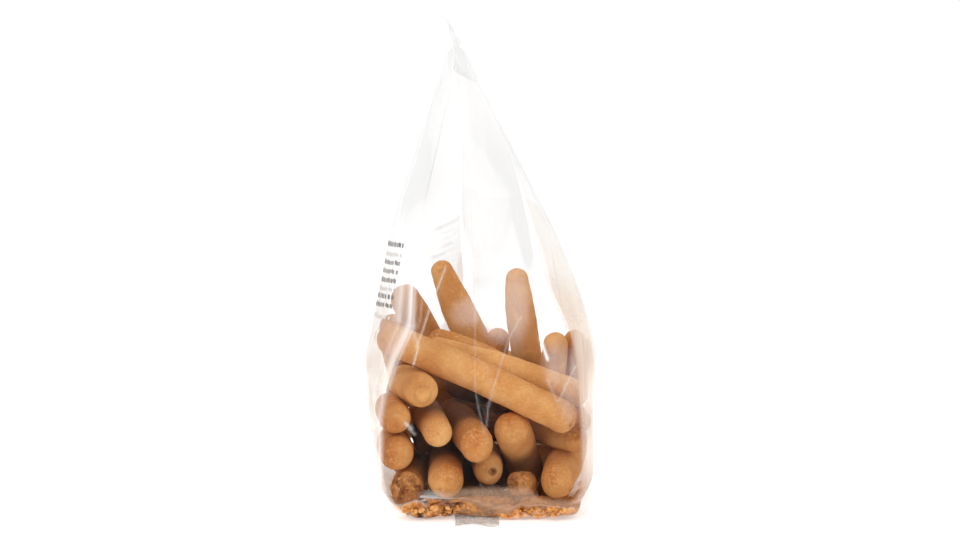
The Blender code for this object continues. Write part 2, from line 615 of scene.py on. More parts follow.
# Sticks baked less than the rest (below 0) or more (above 1)
PALE = {
    "tall_edge": -2.5, "left_top": -1.5, "inner_left": -1.0, "tall_right": -2.0, "tall_left": -0.8,
    "low_middle": -1.5, "leaning_left": 1.2, "cross_short": 0.9,
}
# How much a near end narrows, where it narrows more than the others
TIP_SLIM = {"tall_left": 0.34, "tall_right": 0.28, "tall_edge": 0.04, "right_tall": 0.10, "leaning_left": 0.06}


def mark_end(piece, stick, kind, offset, size, depth):
    """Presses a hole, dimple or flaky ring into a stick's near end."""
    mesh = piece.data
    points = points_of(mesh)
    along_stick = stick["far"] - stick["near"]
    along_stick /= np.linalg.norm(along_stick)
    across = np.cross(along_stick, (0.0, 0.0, 1.0))
    across /= np.linalg.norm(across)
    up = np.cross(across, along_stick)
    if across[0] < 0.0:
        across = -across
    radius = stick["radius"]
    dx, dz = offset[0] * MM, offset[1] * MM
    inward = math.sqrt(max(0.0, radius**2 - dx * dx - dz * dz))
    centre = stick["near"] + across * dx + up * dz - along_stick * inward
    distance = np.linalg.norm(points - centre, axis=1)
    reach = size * MM
    crumb = np.zeros(len(points))
    layer = mesh.attributes.get("crumb")
    if layer is not None:
        stored = np.empty(len(points), np.float32)
        layer.data.foreach_get("value", stored)
        crumb = stored.astype(float)
    if kind == "hole":
        share = ease(1.35 - distance / reach)
        points += np.outer(share * depth * MM, along_stick)
        lip = np.exp(-(((distance - 1.25 * reach) / (0.3 * reach)) ** 2))
        points -= np.outer(lip * 0.15 * depth * MM, along_stick)
        crumb = np.maximum(crumb, ease(1.5 - distance / reach))
    elif kind == "dimple":
        share = np.exp(-((distance / reach) ** 2) * 1.6)
        points += np.outer(share * depth * MM, along_stick)
        crumb = np.maximum(crumb, 0.35 * share)
    else:
        lip = np.exp(-(((distance - reach) / (0.16 * reach)) ** 2))
        inside = ease(1.0 - distance / reach)
        points += np.outer((0.5 * inside - 0.6 * lip) * depth * MM, along_stick)
        crumb = np.maximum(crumb, 0.3 * lip)
    set_points(mesh, points)
    set_mask(mesh, "crumb", crumb)


def depth_in_heap(points, shallow):
    """0 near the film, 1 well inside the heap, where little light comes: the mask for the bread's painted
    shade.
    """
    height = points[:, 2]
    half = half_width(height)
    to_side = half - np.abs(points[:, 0] - centre_x(height))
    to_end = 0.054 - np.abs(points[:, 1])
    to_top = 0.086 - height
    inside = np.minimum(np.minimum(to_side, to_end), to_top)
    return ease((inside - shallow) / 0.016)


def build_stick(stick, material):
    """One breadstick, straight at first, then bent along its own curve and roughened."""
    bread = bpy.context.scene.grissini_bread
    shown = stick["shown"]
    length = float(np.linalg.norm(stick["far"] - stick["near"]))
    piece = blank_stick(
        stick["name"], stick["radius"], length, 36 if shown else 24, int(length / (0.0016 if shown else 0.003))
    )
    points = points_of(piece.data)
    seed = sum(ord(letter) * (index + 3) for index, letter in enumerate(stick["name"]))
    rng = np.random.default_rng(seed)
    height = points[:, 2] / length
    swell = 1.0
    for wave in range(1, 4):
        swell = swell + rng.uniform(-0.035, 0.035) / wave * np.sin(
            wave * math.pi * height + rng.uniform(0.0, 6.28)
        )
    slim_near = TIP_SLIM.get(stick["name"], rng.uniform(0.02, 0.07))
    slim_far = rng.uniform(0.05, 0.16)
    swell = swell * (1.0 - slim_near * np.clip(1.0 - 2.4 * height, 0.0, 1.0) ** 1.6)
    swell = swell * (1.0 - slim_far * np.clip(2.4 * height - 1.4, 0.0, 1.0) ** 1.6)
    near_cap = points[:, 2] < 0.0
    far_cap = points[:, 2] > length
    points[near_cap, 2] *= 0.92 * (1.0 - slim_near)
    points[far_cap, 2] = length + (points[far_cap, 2] - length) * 0.92 * (1.0 - slim_far)
    flat = rng.uniform(0.93, 1.0)
    points[:, 0] *= swell * flat
    points[:, 1] *= swell / flat
    crumb = np.zeros(len(points))
    if stick["name"] in BROKEN:
        low = points[:, 2] < 0.25 * stick["radius"]
        rough = np.array([noise.noise(Vector(point) * 420.0) for point in points])
        cut = 0.25 * stick["radius"] + 0.0016 * rough - 0.35 * points[:, 0]
        crumb = np.where(low, 1.0, 0.0) * ease((cut - points[:, 2]) / 0.001 + 0.5)
        points[:, 2] = np.where(low, np.maximum(points[:, 2], cut - 0.0010), points[:, 2])
    if stick["name"].startswith("fragment"):
        crumb = np.maximum(crumb, 0.75)
    set_points(piece.data, points)
    set_mask(piece.data, "crumb", crumb)
    underside = rng.uniform(0.0, 6.28)
    bake = 0.5 + 0.5 * np.cos(np.arctan2(points[:, 1], points[:, 0]) - underside)
    set_mask(piece.data, "bake", bake)
    tips = np.clip(np.abs(height - 0.5) * 2.0, 0.0, 1.3)
    set_mask(piece.data, "tip", ease((tips - 0.8) / 0.35))
    tone = rng.uniform(0.0, 1.0)
    set_mask(piece.data, "tone", np.full(len(points), PALE.get(stick["name"], tone)))
    if shown:
        smooth = piece.modifiers.new("round", "SUBSURF")
        smooth.levels = 1
        smooth.render_levels = 1
    guide = axis_curve(stick)
    bend = piece.modifiers.new("bend", "CURVE")
    bend.object = guide
    bend.deform_axis = "POS_Z"
    layers = (
        ("lumps", "CLOUDS", 0.016, bread.lump_height),
        ("ripples", "CLOUDS", 0.0055, 0.32 * bread.lump_height),
        ("grain", "CLOUDS", 0.0013, bread.grain_height),
    )
    for title, kind, size, strength in layers:
        if title == "grain" and not shown:
            continue
        relief = piece.modifiers.new(title, "DISPLACE")
        relief.texture = noise_texture("bread_" + title, kind, size)
        relief.texture_coords = "GLOBAL"
        relief.strength = strength
        relief.mid_level = 0.5
    apply_all(piece)
    bpy.data.objects.remove(guide)
    for name, mark, offset, size, depth in END_MARKS:
        if name == stick["name"]:
            mark_end(piece, stick, mark, offset, size, depth)
    points = points_of(piece.data)
    # Painted shade: the bread is darkened where it lies deep in the heap
    set_mask(piece.data, "heap_shade", depth_in_heap(points, 0.020) * 0.75 if shown else depth_in_heap(points, 0.010))
    piece.data.materials.append(material)
    piece.data.shade_smooth()
    finish_piece(piece)
    return piece


# ---------------------------------------------------------------- materials


def new_material(name):
    """A material with an empty node tree and its output."""
    material = bpy.data.materials.new(name)
    material.use_nodes = True
    tree = material.node_tree
    shader = tree.nodes["Principled BSDF"]
    return material, tree, shader


def attribute(tree, name):
    """Reads one of a piece's masks."""
    node = tree.nodes.new("ShaderNodeAttribute")
    node.attribute_name = name
    return node.outputs["Fac"]


def maths(tree, operation, first, second=None, clamp=False):
    """A Math node."""
    node = tree.nodes.new("ShaderNodeMath")
    node.operation = operation
    node.use_clamp = clamp
    for socket, value in zip(node.inputs, (first, second)):
        if value is None:
            continue
        if isinstance(value, (int, float)):
            socket.default_value = value
        else:
            tree.links.new(value, socket)
    return node.outputs[0]


def blend_colour(tree, factor, first, second, mode="MIX"):
    """A Mix node for colours."""
    node = tree.nodes.new("ShaderNodeMix")
    node.data_type = "RGBA"
    node.blend_type = mode
    node.clamp_factor = True
    for socket, value in ((node.inputs[0], factor), (node.inputs[6], first), (node.inputs[7], second)):
        if isinstance(value, bpy.types.NodeSocket):
            tree.links.new(value, socket)
        elif isinstance(value, (int, float)):
            socket.default_value = value
        else:
            socket.default_value = tuple(value)
    return node.outputs[2]


def remap(tree, value, low, high, to_low=0.0, to_high=1.0):
    """A Map Range node, clamped."""
    node = tree.nodes.new("ShaderNodeMapRange")
    node.clamp = True
    tree.links.new(value, node.inputs["Value"])
    node.inputs["From Min"].default_value = low
    node.inputs["From Max"].default_value = high
    node.inputs["To Min"].default_value = to_low
    node.inputs["To Max"].default_value = to_high
    return node.outputs["Result"]


def noise_node(tree, vector, scale, detail=4.0, roughness=0.55):
    """A Noise node on a vector."""
    node = tree.nodes.new("ShaderNodeTexNoise")
    node.inputs["Scale"].default_value = scale
    node.inputs["Detail"].default_value = detail
    node.inputs["Roughness"].default_value = roughness
    tree.links.new(vector, node.inputs["Vector"])
    return node.outputs["Fac"]


def crust_group():
    """Shared by bread and crumbs: mottling, specks and pits over Object coordinates."""
    group = bpy.data.node_groups.new("baked_crust", "ShaderNodeTree")
    add = group.interface.new_socket
    add(name="Pattern", in_out="INPUT", socket_type="NodeSocketVector")
    add(name="Patch Scale", in_out="INPUT", socket_type="NodeSocketFloat")
    add(name="Speck Scale", in_out="INPUT", socket_type="NodeSocketFloat")
    add(name="Patches", in_out="OUTPUT", socket_type="NodeSocketFloat")
    add(name="Mottle", in_out="OUTPUT", socket_type="NodeSocketFloat")
    add(name="Specks", in_out="OUTPUT", socket_type="NodeSocketFloat")
    add(name="Height", in_out="OUTPUT", socket_type="NodeSocketFloat")
    entry = group.nodes.new("NodeGroupInput")
    leave = group.nodes.new("NodeGroupOutput")
    links = group.links
    patches = group.nodes.new("ShaderNodeTexNoise")
    patches.inputs["Detail"].default_value = 3.0
    links.new(entry.outputs["Pattern"], patches.inputs["Vector"])
    links.new(entry.outputs["Patch Scale"], patches.inputs["Scale"])
    links.new(remap(group, patches.outputs["Fac"], 0.34, 0.68), leave.inputs["Patches"])
    mottle = group.nodes.new("ShaderNodeTexNoise")
    mottle.inputs["Detail"].default_value = 8.0
    mottle.inputs["Roughness"].default_value = 0.68
    links.new(entry.outputs["Pattern"], mottle.inputs["Vector"])
    links.new(maths(group, "MULTIPLY", entry.outputs["Patch Scale"], 9.0), mottle.inputs["Scale"])
    links.new(remap(group, mottle.outputs["Fac"], 0.32, 0.70), leave.inputs["Mottle"])
    cells = group.nodes.new("ShaderNodeTexVoronoi")
    cells.inputs["Randomness"].default_value = 1.0
    links.new(entry.outputs["Pattern"], cells.inputs["Vector"])
    links.new(entry.outputs["Speck Scale"], cells.inputs["Scale"])
    dots = remap(group, cells.outputs["Distance"], 0.26, 0.10)
    sparse = remap(group, mottle.outputs["Fac"], 0.47, 0.60)
    specks = maths(group, "MULTIPLY", dots, sparse)
    links.new(specks, leave.inputs["Specks"])
    fine = group.nodes.new("ShaderNodeTexNoise")
    fine.inputs["Detail"].default_value = 6.0
    fine.inputs["Roughness"].default_value = 0.7
    links.new(entry.outputs["Pattern"], fine.inputs["Vector"])
    links.new(maths(group, "MULTIPLY", entry.outputs["Speck Scale"], 1.4), fine.inputs["Scale"])
    raised = maths(group, "SUBTRACT", fine.outputs["Fac"], maths(group, "MULTIPLY", specks, 0.6))
    links.new(raised, leave.inputs["Height"])
    return group


def place_group(tree, group, vector, **values):
    """Places a node group with its own values."""
    node = tree.nodes.new("ShaderNodeGroup")
    node.node_tree = group
    tree.links.new(vector, node.inputs["Pattern"])
    for name, value in values.items():
        node.inputs[name.replace("_", " ").title()].default_value = value
    return node


def bread_material(group):
    """Baked golden crust, browner at tips and underside, orange-brown where it is broken, with painted shade
    deep in the heap and in the crumb's pores.
    """
    bread = bpy.context.scene.grissini_bread
    material, tree, shader = new_material("baked_bread")
    spot = tree.nodes.new("ShaderNodeTexCoord").outputs["Object"]
    crust = place_group(tree, group, spot, patch_scale=90.0, speck_scale=700.0)
    colour = blend_colour(tree, crust.outputs["Patches"], bread.crust, bread.crust_pale)
    brown = maths(tree, "MULTIPLY", remap(tree, attribute(tree, "bake"), 0.35, 1.0), 0.42)
    brown = maths(tree, "ADD", brown, maths(tree, "MULTIPLY", attribute(tree, "tip"), 0.20))
    brown = maths(tree, "ADD", brown, maths(tree, "MULTIPLY", attribute(tree, "tone"), 0.16))
    brown = maths(tree, "MULTIPLY", brown, remap(tree, crust.outputs["Mottle"], 0.0, 1.0, 1.5, 0.6), clamp=True)
    colour = blend_colour(tree, brown, colour, bread.crust_brown)
    grain = remap(tree, crust.outputs["Mottle"], 0.45, 1.0, 0.0, 0.34)
    colour = blend_colour(tree, grain, colour, (0.86, 0.52, 0.22, 1.0))
    colour = blend_colour(
        tree, maths(tree, "MULTIPLY", crust.outputs["Specks"], 0.75), colour, (0.20, 0.055, 0.010, 1.0)
    )
    inner = attribute(tree, "crumb")
    # Painted shade: the crumb's open pores are coloured dark brown
    pores = remap(tree, noise_node(tree, spot, 330.0, 4.0, 0.6), 0.36, 0.60)
    rough_crumb = blend_colour(tree, pores, (0.20, 0.055, 0.012, 1.0), bread.crumb_colour)
    flecks = remap(tree, noise_node(tree, spot, 560.0, 3.0, 0.6), 0.58, 0.74)
    rough_crumb = blend_colour(tree, flecks, rough_crumb, (0.80, 0.50, 0.24, 1.0))
    colour = blend_colour(tree, inner, colour, rough_crumb)
    # Painted shade: crust deep in the heap goes to a near-black brown
    shade = maths(tree, "MULTIPLY", attribute(tree, "heap_shade"), 0.90)
    colour = blend_colour(tree, shade, colour, (0.100, 0.022, 0.003, 1.0))
    tree.links.new(colour, shader.inputs["Base Color"])
    tree.links.new(remap(tree, crust.outputs["Mottle"], 0.0, 1.0, 0.78, 0.62), shader.inputs["Roughness"])
    shader.inputs["Specular IOR Level"].default_value = 0.28
    shader.inputs["Subsurface Weight"].default_value = 0.0
    bump = tree.nodes.new("ShaderNodeBump")
    bump.inputs["Distance"].default_value = 0.0004
    bump.inputs["Strength"].default_value = 0.7
    tree.links.new(crust.outputs["Height"], bump.inputs["Height"])
    tree.links.new(bump.outputs["Normal"], shader.inputs["Normal"])
    return material


def crumb_material(group):
    """Loose crumbs: dry, orange-brown with pale flecks."""
    bread = bpy.context.scene.grissini_bread
    material, tree, shader = new_material("loose_crumb")
    spot = tree.nodes.new("ShaderNodeTexCoord").outputs["Object"]
    crust = place_group(tree, group, spot, patch_scale=260.0, speck_scale=900.0)
    colour = blend_colour(tree, crust.outputs["Patches"], bread.crumb_colour, bread.crust_pale)
    colour = blend_colour(tree, crust.outputs["Specks"], colour, bread.crust_brown)
    tree.links.new(colour, shader.inputs["Base Color"])
    tree.links.new(remap(tree, crust.outputs["Mottle"], 0.0, 1.0, 0.9, 0.7), shader.inputs["Roughness"])
    shader.inputs["Specular IOR Level"].default_value = 0.2
    return material


def film_veil(name, veil, gloss):
    """Clear film: a see-through base with a thin glossy veil that grows at grazing angles and folds, and a
    milky veil whose masks also carry painted sheen, glints, glare and warm light.
    """
    film = bpy.context.scene.grissini_film
    material, tree, shader = new_material(name)
    output = tree.nodes["Material Output"]
    spot = tree.nodes.new("ShaderNodeTexCoord").outputs["Object"]
    clear = tree.nodes.new("ShaderNodeBsdfTransparent")
    facing = tree.nodes.new("ShaderNodeLayerWeight")
    facing.inputs["Blend"].default_value = 0.5
    grazing = remap(tree, facing.outputs["Facing"], 0.62, 1.0)
    through = blend_colour(tree, grazing, (0.966, 0.966, 0.965, 1.0), (0.91, 0.91, 0.905, 1.0))
    painted_warm_glow = attribute(tree, "painted_warm_glow")
    # Painted shade: the film lets less light through where its shade mask says
    through = blend_colour(tree, attribute(tree, "shade"), through, (0.83, 0.795, 0.75, 1.0))
    height = tree.nodes.new("ShaderNodeSeparateXYZ")
    tree.links.new(spot, height.inputs["Vector"])
    gathered = remap(tree, height.outputs["Z"], 0.150, 0.182)
    through = blend_colour(tree, gathered, through, (0.992, 0.992, 0.991, 1.0))
    tree.links.new(through, clear.inputs["Color"])
    edge = tree.nodes.new("ShaderNodeFresnel")
    edge.inputs["IOR"].default_value = 1.45
    glance = remap(tree, edge.outputs["Fac"], 0.036, 0.60, 0.005, 0.36 * gloss)
    streaks = tree.nodes.new("ShaderNodeMapping")
    streaks.inputs["Scale"].default_value = (1.0, 1.0, 0.10)
    tree.links.new(spot, streaks.inputs["Vector"])
    streak = remap(tree, noise_node(tree, streaks.outputs["Vector"], 240.0, 5.0, 0.65), 0.34, 0.70)
    mist = remap(tree, noise_node(tree, streaks.outputs["Vector"], 90.0, 4.0, 0.6), 0.42, 0.80)
    # The milky share: real milkiness, crease whitening, print and crumb dust, with painted sheen, glints and
    # glare
    milk_and_sheen = maths(tree, "MULTIPLY", mist, veil)
    milk_and_sheen = maths(tree, "ADD", milk_and_sheen, maths(tree, "MULTIPLY", attribute(tree, "crease_white_and_glints"), 0.62))
    haze_and_sheen = maths(tree, "MULTIPLY", attribute(tree, "haze_and_sheen"), remap(tree, streak, 0.0, 1.0, 0.72, 1.15))
    milk_and_sheen = maths(tree, "ADD", milk_and_sheen, haze_and_sheen)
    ink = attribute(tree, "ink")
    milk_and_sheen = maths(tree, "ADD", milk_and_sheen, maths(tree, "MULTIPLY", ink, 0.10))
    dust = dust_patches(tree, spot)
    milk_and_sheen = maths(tree, "ADD", milk_and_sheen, maths(tree, "MULTIPLY", dust, 0.84))
    share = maths(tree, "MINIMUM", maths(tree, "ADD", glance, milk_and_sheen), 0.94)
    mirror = maths(tree, "DIVIDE", glance, maths(tree, "ADD", share, 0.0001), clamp=True)
    tree.links.new(mirror, shader.inputs["Metallic"])
    colour = blend_colour(tree, ink, film.tint, film.ink)
    # Painted warm light: the veil takes the bread's orange where its mask says
    colour = blend_colour(tree, painted_warm_glow, colour, (0.84, 0.55, 0.37, 1.0))
    stain = remap(tree, noise_node(tree, spot, 190.0, 6.0, 0.72), 0.40, 0.62)
    stain = blend_colour(tree, stain, (0.33, 0.085, 0.010, 1.0), (0.90, 0.44, 0.130, 1.0))
    colour = blend_colour(tree, dust, colour, stain)
    tree.links.new(colour, shader.inputs["Base Color"])
    shader.inputs["Roughness"].default_value = 0.12
    shader.inputs["IOR"].default_value = 1.45
    ripple = noise_node(tree, streaks.outputs["Vector"], 260.0, 5.0, 0.6)
    bump = tree.nodes.new("ShaderNodeBump")
    bump.inputs["Distance"].default_value = 0.0004
    bump.inputs["Strength"].default_value = 0.5
    tree.links.new(ripple, bump.inputs["Height"])
    tree.links.new(bump.outputs["Normal"], shader.inputs["Normal"])
    mix = tree.nodes.new("ShaderNodeMixShader")
    tree.links.new(share, mix.inputs["Fac"])
    tree.links.new(clear.outputs["BSDF"], mix.inputs[1])
    tree.links.new(shader.outputs["BSDF"], mix.inputs[2])
    tree.links.new(mix.outputs["Shader"], output.inputs["Surface"])
    return material


def dust_patches(tree, spot):
    """Where fine crumb dust sticks to the film: ragged patches inside the dusty zone."""
    ragged = remap(tree, noise_node(tree, spot, 110.0, 6.0, 0.65), 0.40, 0.52)
    return maths(tree, "MULTIPLY", attribute(tree, "dust"), ragged)


def bar_material():
    """Plain dark print, paler where its mask says."""
    film = bpy.context.scene.grissini_film
    material, tree, shader = new_material("printed_bars")
    faint = attribute(tree, "faint")
    colour = blend_colour(tree, faint, film.bar_colour, (0.62, 0.58, 0.54, 1.0))
    tree.links.new(colour, shader.inputs["Base Color"])
    tree.links.new(remap(tree, faint, 0.0, 1.0, 0.35, 0.45), shader.inputs["Roughness"])
    return material


# ---------------------------------------------------------------- film


def line_mask(x, z, path, width):
    """1 on a broken line through (x, z) points in millimetres, falling off over a width."""
    nearest = np.full(x.shape, 1e9)
    for (ax, az), (bx, bz) in zip(path, path[1:]):
        start = np.array([ax, az]) * MM
        step = np.array([bx, bz]) * MM - start
        part = ((x - start[0]) * step[0] + (z - start[1]) * step[1]) / (step @ step)
        part = np.clip(part, 0.0, 1.0)
        gap = np.hypot(x - start[0] - part * step[0], z - start[1] - part * step[1])
        nearest = np.minimum(nearest, gap)
    return np.exp(-((nearest / (width * MM)) ** 2))


# Folds of the front gusset, and painted glints on the film: (x, z) path in millimetres, width, height and
# whitening; the whitening is partly the film's own crease whitening, partly a painted highlight along the fold
FRONT_CREASES_AND_GLINTS = (
    (((-4, 140), (-2, 87), (-2, 69), (-2, 59), (2, 41)), 0.32, 0.30, 0.17),
    (((19, 92), (13, 81), (9, 68), (4, 53), (3, 42)), 0.32, 0.30, 0.20),
    (((6.5, 58), (4, 51), (3, 42)), 0.25, 0.20, 0.18),
    (((30, 65), (34, 56)), 0.4, 0.3, 0.22),
    (((42, 72), (35, 56)), 0.4, 0.3, 0.22),
    (((-28, 112), (-29, 89), (-36, 74), (-41, 61), (-43, 48), (-43, 12)), 0.7, 0.6, 0.42),
    (((-33, 107), (-35, 90), (-40, 77), (-45, 61)), 0.5, 0.4, 0.30),
    (((-36, 108), (-37, 89)), 0.7, 0.3, 0.22),
    (((-29, 87), (-27, 80), (-29, 72)), 0.45, 0.7, 0.50),
    (((-15, 113), (-22, 96), (-26, 84), (-28, 80)), 0.45, 0.5, 0.45),
    (((-24, 112), (-26, 92), (-29, 84)), 0.5, 0.3, 0.22),
    (((0, 153), (16, 149), (29, 130)), 2.2, 0.6, 0.03),
    (((-29, 112), (-30, 90)), 1.4, 0.2, 0.80),
    (((-34, 108), (-35.5, 90)), 1.1, 0.2, 0.50),
    (((-30, 90), (-37, 76), (-42, 61)), 1.7, 0.2, 0.85),
    # The last four are painted glints: short white slivers where the film catches the light
    (((-20, 98), (-16, 89)), 0.55, 0.3, 1.2),
    (((27, 83), (30, 74)), 0.55, 0.3, 1.2),
    (((-32.5, 46), (-30, 43.5)), 0.6, 0.3, 0.55),
    (((-31, 43.5), (-28.5, 41)), 0.4, 0.3, 0.40),
)
# Milky areas of the front gusset, partly painted sheen over the sticks behind: middle x and height, half width
# and half height in millimetres, amount
HAZE_AND_SHEEN_PATCHES = (
    (15, 97, 7, 18, 0.26), (-3, 92, 9, 7, 0.24), (9, 86, 9, 7, 0.22), (40, 62, 6, 16, 0.16),
    (34, 72, 6, 11, 0.20), (43, 70, 4, 12, 0.30),
)
BOTTOM_FOLD = ((-26, 13), (-4, 11.5), (12, 9.5), (33, 8), (38, 7.5))
# The same fold as (x, height)
BOTTOM_FOLD_AS_HEIGHTS = ((-60, 9), (-34, 9)) + BOTTOM_FOLD + ((60, 6.5),)


def push_clear(points, normals, gap):
    """How far each film point has to move along its normal to clear every stick."""
    push = np.zeros(len(points))
    for stick in STICKS:
        reach = stick["radius"] + gap
        line = stick_axis(stick)
        fine = np.linspace(0.0, len(line) - 1.0, 34)
        low = np.minimum(fine.astype(int), len(line) - 2)
        centres = line[low] + (line[low + 1] - line[low]) * (fine - low)[:, None]
        box = (points > line.min(axis=0) - reach - 0.004) & (points < line.max(axis=0) + reach + 0.004)
        inside = np.flatnonzero(box.all(axis=1))
        if len(inside) == 0:
            continue
        some = points[inside]
        out = normals[inside]
        best = np.zeros(len(inside))
        for centre in centres:
            gap_vector = some - centre
            across = np.einsum("ij,ij->i", gap_vector, out)
            square = np.einsum("ij,ij->i", gap_vector, gap_vector)
            under = across**2 - square + reach**2
            exit_at = -across + np.sqrt(np.maximum(0.0, under))
            best = np.where((under > 0.0) & (exit_at > best), exit_at, best)
        push[inside] = np.maximum(push[inside], best)
    return np.minimum(push, 0.012)


def grid_normals(grid):
    """Outward normals of a closed grid of rows."""
    across = np.roll(grid, -1, axis=1) - np.roll(grid, 1, axis=1)
    up = np.empty_like(grid)
    up[1:-1] = grid[2:] - grid[:-2]
    up[0] = grid[1] - grid[0]
    up[-1] = grid[-1] - grid[-2]
    normal = np.cross(across, up)
    return normal / (np.linalg.norm(normal, axis=2, keepdims=True) + 1e-12)


def smooth_field(field, passes):
    """Averages a field over its neighbours on the grid."""
    for _ in range(passes):
        side = 0.25 * (np.roll(field, 1, axis=1) + np.roll(field, -1, axis=1)) + 0.5 * field
        upright = side.copy()
        upright[1:-1] = 0.5 * side[1:-1] + 0.25 * (side[2:] + side[:-2])
        field = upright
    return field


def film_grid():
    """The film's form with its folds and wrinkles, held clear of the bread, and its masks."""
    grid = bag_grid()
    rows, columns = grid.shape[:2]
    normals = grid_normals(grid)
    x, y, z = grid[..., 0], grid[..., 1], grid[..., 2]
    front = ease((-y - 0.008) / 0.02) * ease((-normals[..., 1] + 0.75) / 0.5)
    crease_white_and_glints = np.zeros((rows, columns))
    lift = np.zeros((rows, columns))
    for path, width, height, white in FRONT_CREASES_AND_GLINTS:
        mask = line_mask(x, z, path, 1.25 * width) * front
        crease_white_and_glints = np.maximum(crease_white_and_glints, mask * white)
        lift = lift + line_mask(x, z, path, 1.6 * width) * front * height * MM
    # The bottom fold is whitened into a bright line: partly its own whitening, partly a painted highlight
    fold = line_mask(x, z, BOTTOM_FOLD, 0.55) * front
    crease_white_and_glints = np.maximum(crease_white_and_glints, 0.75 * fold)
    lift = lift + line_mask(x, z, BOTTOM_FOLD, 1.6) * front * 1.1 * MM
    wave = np.empty((rows, columns))
    crumple = np.empty((rows, columns))
    glare_blots = np.empty((rows, columns))
    for row in range(rows):
        for column in range(columns):
            px, py, pz = grid[row, column]
            wave[row, column] = noise.noise(Vector((px * 70.0, py * 70.0, pz * 16.0)))
            crumple[row, column] = noise.turbulence(
                Vector((px * 120.0, py * 120.0, pz * 120.0)), 3, True
            )
            glare_blots[row, column] = noise.noise(Vector((px * 95.0, py * 95.0, pz * 150.0)))
    low = 1.0 - ease((z - 0.003) / 0.014)
    lift = lift + 0.0007 * wave * ease(z / 0.03) * (1.0 - ease((z - 0.19) / 0.012))
    lift = lift + 0.0011 * (crumple - 0.4) * low
    # Painted glare: white blots on the lowest film, and painted glints on its crumples
    lowest = ease((0.0075 - z) / 0.003)
    crease_white_and_glints = np.maximum(crease_white_and_glints, lowest * 1.25 * ease((glare_blots + 0.02) / 0.16))
    crease_white_and_glints = np.maximum(crease_white_and_glints, low * 0.35 * ease((crumple - 0.80) / 0.3))
    column = np.arange(columns)[None, :]
    on_right = ease((column - FRONT_STEPS + 1.5) / 3.0) * ease((FRONT_STEPS + PANEL_STEPS - column) / 4.0)
    on_left = ease((column - (columns - PANEL_STEPS)) / 4.0)
    # Haze: milky film with painted sheen, strongest on the side panels, which are seen at grazing angles
    haze_and_sheen = 0.17 * on_left * ease((0.135 - z) / 0.040) + 0.05 * on_left + 0.10 * on_right
    haze_and_sheen = haze_and_sheen + 0.34 * on_right * ease((0.100 - z) / 0.015) * ease((z - 0.040) / 0.020)
    for px, pz, wide, tall, amount in HAZE_AND_SHEEN_PATCHES:
        spread = ((x - px * MM) / (wide * MM)) ** 2 + ((z - pz * MM) / (tall * MM)) ** 2
        haze_and_sheen = np.maximum(haze_and_sheen, amount * np.exp(-1.2 * spread**2) * front)
    fold_height = along(BOTTOM_FOLD_AS_HEIGHTS, x)
    over_fold = 0.003 + 0.14 * np.clip(x + 0.026, 0.0, 0.07) * (1.0 - 0.8 * ease((x - 0.020) / 0.008))
    above = ease((z - fold_height) / 0.0015) * ease((fold_height + over_fold - z) / 0.004) * front
    haze_and_sheen = np.maximum(haze_and_sheen, 0.32 * above * ease((x + 0.030) / 0.008))
    ink = on_right * ease((0.131 - z) / 0.002) * ease((z - 0.004) / 0.004)
    # Painted warm light from the bread tints the veil orange on the low front and lower side panels; these also
    # get painted shade, letting less light through
    low_front = ease((0.0215 - z) / 0.006) * front * ease((x + 0.020) / 0.010)
    shade = (0.80 * on_left + on_right) * ease((0.112 - z) / 0.040)
    painted_warm_glow = np.maximum(0.5 * shade, low_front)
    shade = np.maximum(shade, 0.85 * low_front)
    below = ease((fold_height - z) / 0.002) * ease((-y - 0.015) / 0.02)
    dust = np.maximum(below, 0.7 * (1.0 - ease((z - 0.001) / 0.004)))
    flat_points = (grid + normals * lift[..., None]).reshape(-1, 3)
    flat_normals = normals.reshape(-1, 3)
    moved = np.zeros(rows * columns)
    for _ in range(5):
        need = push_clear(flat_points + flat_normals * moved[:, None], flat_normals, 0.0004)
        moved = moved + need
        moved = smooth_field(moved.reshape(rows, columns), 3).ravel()
    need = push_clear(flat_points + flat_normals * moved[:, None], flat_normals, 0.0003)
    moved = moved + smooth_field(need.reshape(rows, columns), 1).ravel()
    points = (flat_points + flat_normals * moved[:, None]).reshape(rows, columns, 3)
    over_foot = ease((points[..., 0] + 0.0135) / 0.0015) * ease((0.0110 - points[..., 0]) / 0.0015)
    points[..., 2] = np.maximum(points[..., 2], 0.0003 + 0.0010 * over_foot)
    return points, {"crease_white_and_glints": crease_white_and_glints, "haze_and_sheen": haze_and_sheen, "ink": ink, "dust": dust, "painted_warm_glow": painted_warm_glow, "shade": shade}


def film_mesh(points, masks):
    """Joins the grid into one closed skin, with a base of shrinking rings."""
    rows, columns = points.shape[:2]
    ring = points[0]
    middle = ring.mean(axis=0)
    base = []
    for step in range(1, 16):
        share = (1.0 - step / 16.0) ** 1.1
        inner = middle + (ring - middle) * share
        inner[:, 2] = 0.0013 + (ring[:, 2] - 0.0013) * share**6
        base.append(inner)
    every = [ring_points for ring_points in reversed(base)] + list(points)
    flat = np.concatenate(every)
    count = len(every)
    faces = []
    for row in range(count - 1):
        start = row * columns
        for column in range(columns):
            after = (column + 1) % columns
            faces.append((start + column, start + after, start + columns + after, start + columns + column))
    faces.append(tuple(reversed(range(columns))))
    top = (count - 1) * columns
    faces.append(tuple(top + column for column in range(columns)))
    mesh = bpy.data.meshes.new("film_bag")
    mesh.from_pydata(flat.tolist(), [], faces)
    mesh.validate()
    for name, values in masks.items():
        base_values = np.repeat(values[0][None, :], len(base), axis=0)
        set_mask(mesh, name, np.concatenate([base_values, values]).ravel())
    return mesh


